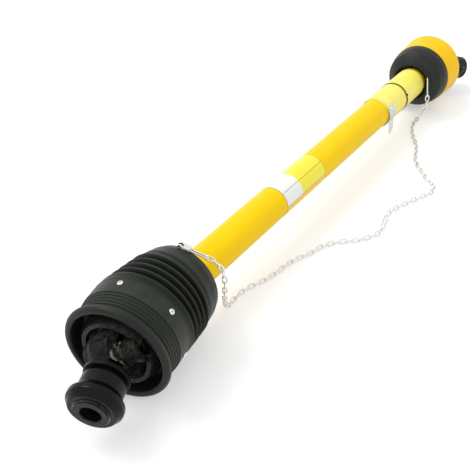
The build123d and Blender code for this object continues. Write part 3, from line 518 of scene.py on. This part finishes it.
# %% Solids of a node, told apart
def islands(name):
    """The vertices of each solid of a CAD node, one array for each."""
    shape = bmesh.new()
    shape.from_mesh(nodes[name].data)
    bmesh.ops.remove_doubles(shape, verts=shape.verts, dist=1e-6)
    unseen = set(shape.verts)
    found = []
    while unseen:
        front = [unseen.pop()]
        group = []
        while front:
            vert = front.pop()
            group.append(vert.co[:])
            for edge in vert.link_edges:
                other = edge.other_vert(vert)
                if other in unseen:
                    unseen.remove(other)
                    front.append(other)
        found.append(np.array(group))
    shape.free()
    return found


def own_place(points):
    """A matrix on a solid's middle, with X on its longest direction and Y on the next."""
    middle = points.mean(0)
    spread = np.linalg.svd(points - middle, full_matrices=False)[2]
    x, y = Vector(spread[0]), Vector(spread[1])
    turn = Matrix((x, y, x.cross(y))).transposed().to_4x4()
    return Matrix.Translation(Vector(middle)) @ turn


screw_solids = islands("bell_screws")
print("bell_screws holds", len(screw_solids), "solids")

# %% [markdown]
# Each screw is a pan head with a cross recess. The domed head is spun, and a boolean cuts the recess
# with two crossed bars whose ends taper. One head is finished and then copied to the six places.

# %% Pan-head screws with a cross recess
head_radius = 0.0055
head_height = 0.0030
head_edge = 0.0003
dome_place, dome_round = 0.0008, 0.0022
flat_radius = 0.0016
shank_radius = 0.0025
shank_length = 0.004
head_sides = 32
recess_length = 0.0056
recess_width = 0.0011
recess_depth = 0.0018
recess_taper = 0.55
recess_turn, recess_turn_step = 25, 40
head_sink = 0.0001


def baked(piece):
    """The mesh of an object with its modifiers applied, after which the object is gone."""
    mesh = bpy.data.meshes.new_from_object(piece.evaluated_get(bpy.context.evaluated_depsgraph_get()))
    bpy.data.objects.remove(piece)
    return mesh


head_outline = [(-shank_length, 0), (-shank_length, shank_radius), (0, shank_radius),
                (0, head_radius - head_edge), (head_edge, head_radius)]
head_outline += arc((dome_place, head_radius - dome_round), dome_round, 90, 20, 8)
head_outline += [(head_height, flat_radius), (head_height, 0)]
head_shape = bmesh.new()
head_verts = [head_shape.verts.new((x, radius, 0)) for x, radius in head_outline]
for first, second in zip(head_verts, head_verts[1:]):
    head_shape.edges.new((first, second))
bmesh.ops.spin(head_shape, geom=head_shape.verts[:] + head_shape.edges[:], cent=(0, 0, 0),
               axis=(1, 0, 0), angle=2 * pi, steps=head_sides, use_merge=True)
bmesh.ops.remove_doubles(head_shape, verts=head_shape.verts, dist=1e-6)
head_piece = finish_mesh("screw_head", head_shape)

cutter_shape = bmesh.new()
for quarter in (0, 90):
    made = bmesh.ops.create_cube(cutter_shape, size=1.0)["verts"]
    for vert in made:
        narrow = recess_taper if vert.co.x < 0 else 1.0
        vert.co = Vector((head_height + vert.co.x * 2 * recess_depth, vert.co.y * recess_length * narrow,
                          vert.co.z * recess_width))
    bmesh.ops.rotate(cutter_shape, cent=(0, 0, 0), matrix=Matrix.Rotation(radians(quarter), 3, "X"),
                     verts=made)
cutter = finish_mesh("screw_cutter", cutter_shape)
cut = head_piece.modifiers.new("recess", "BOOLEAN")
cut.object = cutter
cut.solver = "EXACT"
cut.use_self = True
bpy.context.view_layer.update()
head_mesh = baked(head_piece)
bpy.data.objects.remove(cutter)

screws = bmesh.new()
for i, points in enumerate(screw_solids):
    local = bell_line.inverted() @ Vector((points.min(0) + points.max(0)) / 2)
    outward = Vector((0, local.y, local.z)).normalized()
    seat = Vector((local.x, 0, 0)) + outward * (band_radius - head_sink)
    driven = Matrix.Rotation(radians(recess_turn + recess_turn_step * i), 4, "X")
    turn = outward.to_track_quat("X", "Y").to_matrix().to_4x4() @ driven
    before = len(screws.verts)
    screws.from_mesh(head_mesh)
    screws.verts.ensure_lookup_table()
    fresh = screws.verts[before:]
    bmesh.ops.transform(screws, matrix=Matrix.Translation(seat) @ turn, verts=fresh)
screw_heads = finish_mesh("bell_screw_heads", screws, bell_line, angle=30)
settle(screw_heads, zinc_plate, "bell", "zinc_steel", "bell_screws")

# %% [markdown]
# The boot between the base cone and the bell is a rubber sleeve with round folds. It starts as a
# straight turned sleeve, in which the distance along X is the share of the way from the cone to the
# bell. Each vertex is then laid into the place and the lean of the sleeve there, since the two rims
# don't face each other. The boot crosses two hinges, and it is made in two halves, cut at its middle.
# A short stretch at each rim is a plain cuff, so that the boot keeps its seat on the cone. At the
# limits of the housing's swing the folds still run into the bell.

# %% Rubber boot in two halves
boot_start = 0.0827
boot_end = -0.0107
boot_ribs = 5
boot_wall = 0.0026
crest_back, crest_front = 0.0893, 0.0983
cuff_back, cuff_front = 0.0864, 0.0962
fold_depth = 0.0125
fold_round = 1.7
cuff_share = 0.07
boot_points = 60
boot_sides = 120
boot_middle = 0.5

boot_back = shaft_line @ Vector((boot_start, 0, 0))
boot_front = bell_line @ Vector((boot_end, 0, 0))
shaft_way = (shaft_line.to_3x3() @ Vector((-1, 0, 0))).normalized()
bell_way = (bell_line.to_3x3() @ Vector((-1, 0, 0))).normalized()


def boot_radius(share):
    """The sleeve's radius, with plain cuffs at its ends and folds between them."""
    crest = crest_back + (crest_front - crest_back) * share
    run = (share - cuff_share) / (1 - 2 * cuff_share)
    if run <= 0:
        return cuff_back
    if run >= 1:
        return cuff_front
    wave = abs(sin(pi * run * boot_ribs)) ** fold_round
    low = crest - fold_depth
    start = cuff_back if run < 0.5 / boot_ribs else cuff_front if run > 1 - 0.5 / boot_ribs else low
    return start + (crest - start) * wave


def boot_half(name, first, last):
    """One half of the sleeve, closed by its inner skin."""
    shares = [first + (last - first) * i / boot_points for i in range(boot_points + 1)]
    outer = [(share, boot_radius(share)) for share in shares]
    inner = [(share, boot_radius(share) - boot_wall) for share in reversed(shares)]
    shape = spun(outer + inner, boot_sides)
    for vert in shape.verts:
        share = vert.co.x
        heading = shaft_way * (1 - share) + bell_way * share
        lean = place_on(heading, boot_back.lerp(boot_front, share))
        vert.co = lean @ Vector((0, vert.co.y, vert.co.z))
    return finish_mesh(name, shape, angle=50)


boot_rear = boot_half("boot_rear", 0.0, boot_middle)
settle(boot_rear, boot_black, None, "bellows_rubber", "rubber_bellows")
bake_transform(boot_rear)
boot_fore = boot_half("boot_fore", boot_middle, 1.0)
settle(boot_fore, boot_black, None, "bellows_rubber", "rubber_bellows")
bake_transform(boot_fore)

# %% [markdown]
# Two coil springs are pressed together when their part is pushed: the one behind the pull collar and
# the one behind the quick pin. Each is shown by a copy of its CAD coil, on the body of its part.

# %% Copies of the spring coils
def pressed_spring(node, body):
    """A copy of a CAD coil, on the body that carries it."""
    coil = bpy.data.objects.new(node + "_coil", nodes[node].data.copy())
    bpy.context.scene.collection.objects.link(coil)
    settle(coil, spring_steel, body, "spring_steel", node)
    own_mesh(coil)


pressed_spring("collar_spring", "tractor_yoke")
pressed_spring("quick_release_spring", "implement_yoke")

# %% [markdown]
# A chain link is a round wire bent to a long ring. A small circle is pushed along one straight side,
# spun round the end, pushed back along the other side and spun round the other end. Every link of the
# two chains is a copy of it, laid on the plain link of the CAD chain.

# %% Round-wire chain links
wire_radius = 0.0015
link_side = 0.0039
link_reach = 0.0048
wire_sides = 8
end_steps = 7


def link_mesh():
    """One welded link, long on X and flat on Y."""
    shape = bmesh.new()
    ring = bmesh.ops.create_circle(shape, segments=wire_sides, radius=wire_radius)["verts"]
    bmesh.ops.rotate(shape, cent=(0, 0, 0), matrix=Matrix.Rotation(pi / 2, 3, "Y"), verts=ring)
    bmesh.ops.translate(shape, vec=(-link_reach, -link_side, 0), verts=ring)
    edges = shape.edges[:]
    for way in (1, -1):
        grown = bmesh.ops.extrude_edge_only(shape, edges=edges)["geom"]
        ring = [item for item in grown if isinstance(item, bmesh.types.BMVert)]
        bmesh.ops.translate(shape, vec=(2 * link_reach * way, 0, 0), verts=ring)
        edges = [item for item in grown if isinstance(item, bmesh.types.BMEdge)
                 and all(vert in ring for vert in item.verts)]
        turned = bmesh.ops.spin(shape, geom=ring + edges, cent=(link_reach * way, 0, 0), axis=(0, 0, 1),
                                angle=pi, steps=end_steps)["geom_last"]
        edges = [item for item in turned if isinstance(item, bmesh.types.BMEdge)]
    bmesh.ops.remove_doubles(shape, verts=shape.verts, dist=1e-5)
    return shape


def chain_of(node, body):
    """Round links in the places of a CAD chain's links."""
    chain = bmesh.new()
    link = bpy.data.meshes.new("link")
    shape = link_mesh()
    shape.to_mesh(link)
    shape.free()
    for points in islands(node):
        before = len(chain.verts)
        chain.from_mesh(link)
        chain.verts.ensure_lookup_table()
        bmesh.ops.transform(chain, matrix=own_place(points), verts=chain.verts[before:])
    bpy.data.meshes.remove(link)
    return settle(finish_mesh(node + "_links", chain, angle=60), zinc_plate, body, "zinc_steel", node)


chain_of("near_chain", "near_guard")
chain_of("far_chain", "far_guard")

# %% [markdown]
# The chain's first loop is held in the cone's eye by a folded clip of bright sheet metal. The clip is a
# strip that is bent round the eye's wire like a hairpin, with its two tongues pressed together. The
# strip's line is pushed sideways to give its width, and then thickened.

# %% Sheet-metal clip at the cone's eye
clip_eye = (0.118, 0.0, 0.082)
clip_bend = 0.0050
clip_reach = 0.020
clip_width = 0.013
clip_thickness = 0.0011
tongue_gap, tongue_swell = 0.0022, 0.0026
swell_share = 0.4

clip_line = [(-clip_reach, -tongue_gap), (-swell_share * clip_reach, -tongue_swell)]
clip_line += arc((0, 0), clip_bend, 215, 505, 18)
clip_line += [(-swell_share * clip_reach, tongue_swell), (-clip_reach, tongue_gap)]
clip_shape = bmesh.new()
clip_verts = [clip_shape.verts.new((x, -clip_width / 2, z)) for x, z in clip_line]
clip_edges = [clip_shape.edges.new(pair) for pair in zip(clip_verts, clip_verts[1:])]
grown = bmesh.ops.extrude_edge_only(clip_shape, edges=clip_edges)["geom"]
bmesh.ops.translate(clip_shape, vec=(0, clip_width, 0),
                    verts=[item for item in grown if isinstance(item, bmesh.types.BMVert)])
bmesh.ops.solidify(clip_shape, geom=clip_shape.faces[:], thickness=clip_thickness)
clip_turn = Matrix.Rotation(radians(90), 4, "Z")
clip_place = shaft_line @ Matrix.Translation(clip_eye) @ clip_turn
clip = finish_mesh("cone_clip", clip_shape, clip_place, angle=40)
settle(clip, zinc_plate, "near_guard", "zinc_steel")

# %% [markdown]
# The booklet is rolled round the tube under an elastic ring. It is made of three leaves, each a grid
# bent round the shaft. The leaves swell between the ring and their ends, ripple a little, and the
# outer ones lift at the long edge, so that the layers show.

# %% Booklet of three leaves
paper, tree, shader = new_material("booklet_paper")
stains = object_noise(tree, scale=40.0, detail=5)
fibres = object_noise(tree, scale=1500.0, detail=3, roughness=0.7)
tone = mixed(tree, ramp(tree, stains, 0.35, 0.7), (1.0, 0.86, 0.09, 1), (1.0, 0.92, 0.26, 1))
tree.links.new(mixed(tree, ramp(tree, fibres, 0.4, 0.7, 0.0, 0.15), tone, (0.9, 0.72, 0.15, 1)),
               shader.inputs["Base Color"])
tree.links.new(ramp(tree, stains, 0.3, 0.7, 0.32, 0.5), shader.inputs["Roughness"])
tree.links.new(add_node(tree, "ShaderNodeBump", {"Height": fibres, "Strength": 0.1, "Distance": 0.0004})
               .outputs["Normal"], shader.inputs["Normal"])

leaf_thickness = 0.0005
leaf_seat = 0.0363
ring_place = 1.0315
pinch_reach, free_reach = 0.016, 0.05
pinch_share, edge_share = 0.35, 0.5
edge_sharpness = 26
ripples_along, ripples_around = 24, 1.4
booklet_ends = (0.9235, 1.1365)
open_turn = radians(284)
wrap_turn = radians(349)


def leaf(name, lift, first, last, trim, ripple, seed):
    """One leaf of the booklet, as a closed thin sheet."""
    shape = bmesh.new()
    bmesh.ops.create_grid(shape, x_segments=90, y_segments=90, size=0.5)
    for vert in shape.verts:
        along = first + (last - first) * (vert.co.x + 0.5)
        share = vert.co.y + 0.5
        turn = open_turn + trim + (wrap_turn - 2 * trim) * share
        pinch = exp(-((along - ring_place) / pinch_reach) ** 2)
        spot = Vector((along * ripples_along, cos(turn) * ripples_around,
                       sin(turn) * ripples_around + seed))
        wander = noise.fractal(spot, 1.0, 2.0, 3)
        edge = exp(-min(share, 1 - share) * edge_sharpness)
        free = 1 - exp(-((along - ring_place) / free_reach) ** 2)
        radius = leaf_seat + lift * (1 - pinch_share * pinch) + (1 - pinch) * ripple * (0.5 + wander)
        radius += edge * free * lift * edge_share
        vert.co = Vector((along, radius * cos(turn), radius * sin(turn)))
    bmesh.ops.solidify(shape, geom=shape.faces[:], thickness=leaf_thickness)
    piece = finish_mesh(name, shape, shaft_line, angle=40)
    return settle(piece, paper, "near_guard", "booklet_paper", "booklet")


start, end = booklet_ends
leaf("booklet_inner_leaf", lift=0.0003, first=start, last=end, trim=0.0, ripple=0.0002, seed=0.0)
leaf("booklet_middle_leaf", lift=0.0010, first=start + 0.002, last=end - 0.0015, trim=0.05,
     ripple=0.0005, seed=3.0)
leaf("booklet_outer_leaf", lift=0.0018, first=start + 0.0055, last=end - 0.004, trim=0.11,
     ripple=0.0007, seed=7.0)

# %% [markdown]
# A torn flap of clear film hangs from the booklet's near end. The grid first lies on the booklet and
# then drops. Noise crumples it more towards its loose end. The shader is a thin clear film that shows
# mostly as glints. Some come from its gloss, and the rest are painted glints and a painted bluish
# reflection: its colour runs from pale blue to white, and its alpha rises, on the same noise that gives the
# creases.

# %% Crumpled film flap
film, tree, shader = new_material("clear_film")
creases_and_glints = object_noise(tree, scale=160.0, detail=5, roughness=0.7)
# Painted glints and a painted bluish reflection: the colour goes from pale blue to white, and the alpha
# rises, with the crease noise.
tree.links.new(mixed(tree, ramp(tree, creases_and_glints, 0.4, 0.6), (0.78, 0.87, 0.95, 1), (0.97, 0.98, 0.99, 1)),
               shader.inputs["Base Color"])
tree.links.new(ramp(tree, creases_and_glints, 0.38, 0.58, 0.45, 0.92), shader.inputs["Alpha"])
tree.links.new(ramp(tree, creases_and_glints, 0.3, 0.7, 0.06, 0.2), shader.inputs["Roughness"])
tree.links.new(add_node(tree, "ShaderNodeBump", {"Height": creases_and_glints, "Strength": 0.5, "Distance": 0.001})
               .outputs["Normal"], shader.inputs["Normal"])

film_start, film_width = 0.926, 0.034
film_radius = 0.0398
film_turns = (radians(146), radians(204))
film_drop = 0.032
film_split = 0.45
film_thickness = 0.00025
crumple_laid, crumple_hung = 0.0006, 0.0032
film_taper = 0.1
film_lean = 0.004
film_wander = 0.002

shape = bmesh.new()
bmesh.ops.create_grid(shape, x_segments=48, y_segments=90, size=0.5)
for vert in shape.verts:
    across, share = vert.co.x + 0.5, vert.co.y + 0.5
    lain = min(share / film_split, 1)
    hung = max(share - film_split, 0) / (1 - film_split)
    turn = film_turns[0] + (film_turns[1] - film_turns[0]) * lain
    spot = Vector((across * 5, share * 9, 2.5))
    crumple = noise.fractal(spot, 0.9, 2.1, 5) * (crumple_laid + crumple_hung * hung)
    radius = film_radius + abs(crumple) * (1 - hung)
    place = Vector((film_start + film_width * (across - 0.5) * (1 - film_taper * hung) + film_width / 2,
                    radius * cos(turn), radius * sin(turn)))
    place += Vector((noise.noise(spot * 2) * film_wander * hung,
                     -(abs(crumple) + film_lean * (1 - across)) * hung, -film_drop * hung))
    vert.co = place
bmesh.ops.solidify(shape, geom=shape.faces[:], thickness=film_thickness)
flap = finish_mesh("crumpled_film", shape, shaft_line, angle=80)
settle(flap, film, "near_guard", "clear_film", "clear_film_flap")

# %% [markdown]
# The floor lies just under the bell's lip. It is a pale sheet that keeps the soft shadow. Seen by the
# camera, or in a reflection, it is lifted to white by its own faint glow, and so is the world. The
# world and the sun together are a little too bright for the upper side of the white label, which clips.

# %% Floor, world and sun
floor_gap = 0.0004
floor_reach = 12
floor_middle = 0.7
floor_shade = 0.7
floor_glow = 0.40
world_light = 0.9
sun_light = 1.05
sun_spread = radians(28)


def seen_share(tree):
    """One where the camera, a reflection or a clear piece looks, else nought."""
    path = add_node(tree, "ShaderNodeLightPath").outputs
    seen = calc(tree, "MAXIMUM", path["Is Camera Ray"], path["Is Glossy Ray"])
    return calc(tree, "MAXIMUM", seen, path["Is Transmission Ray"])


floor_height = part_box("guard_bell")[0].z - floor_gap
floor_shape = bmesh.new()
bmesh.ops.create_grid(floor_shape, x_segments=1, y_segments=1, size=floor_reach)
floor = finish_mesh("floor", floor_shape, Matrix.Translation((floor_middle, 0, floor_height)))
floor_white, tree, shader = new_material("floor_white")
shader.inputs["Base Color"].default_value = (floor_shade, floor_shade, floor_shade, 1)
shader.inputs["Roughness"].default_value = 0.9
shader.inputs["Specular IOR Level"].default_value = 0.0
shader.inputs["Emission Color"].default_value = (1, 1, 1, 1)
glow = calc(tree, "MULTIPLY", seen_share(tree), floor_glow)
tree.links.new(glow, shader.inputs["Emission Strength"])
floor.data.materials.append(floor_white)

world = bpy.data.worlds.new("world")
bpy.context.scene.world = world
world.use_nodes = True
tree = world.node_tree
background = tree.nodes["Background"]
seen = seen_share(tree)
tree.links.new(ramp(tree, seen, 0.0, 1.0, world_light, 1.0), background.inputs["Strength"])
background.inputs["Color"].default_value = (1, 1, 1, 1)


def lamp(name, kind, energy, place, target, **settings):
    """A lamp that shines from its place to its target."""
    light = bpy.data.objects.new(name, bpy.data.lights.new(name, kind))
    bpy.context.scene.collection.objects.link(light)
    light.data.energy = energy
    for label, value in settings.items():
        setattr(light.data, label, value)
    light.location = place
    light.rotation_mode = "QUATERNION"
    light.rotation_quaternion = (Vector(target) - Vector(place)).to_track_quat("-Z", "Y")
    return light


lamp("key", "SUN", sun_light, (0.35, 0.75, 1.1), (0.45, 0, 0), angle=sun_spread)

scene = bpy.context.scene
scene.view_settings.view_transform = "Standard"
print("floor at", round(floor_height, 4))
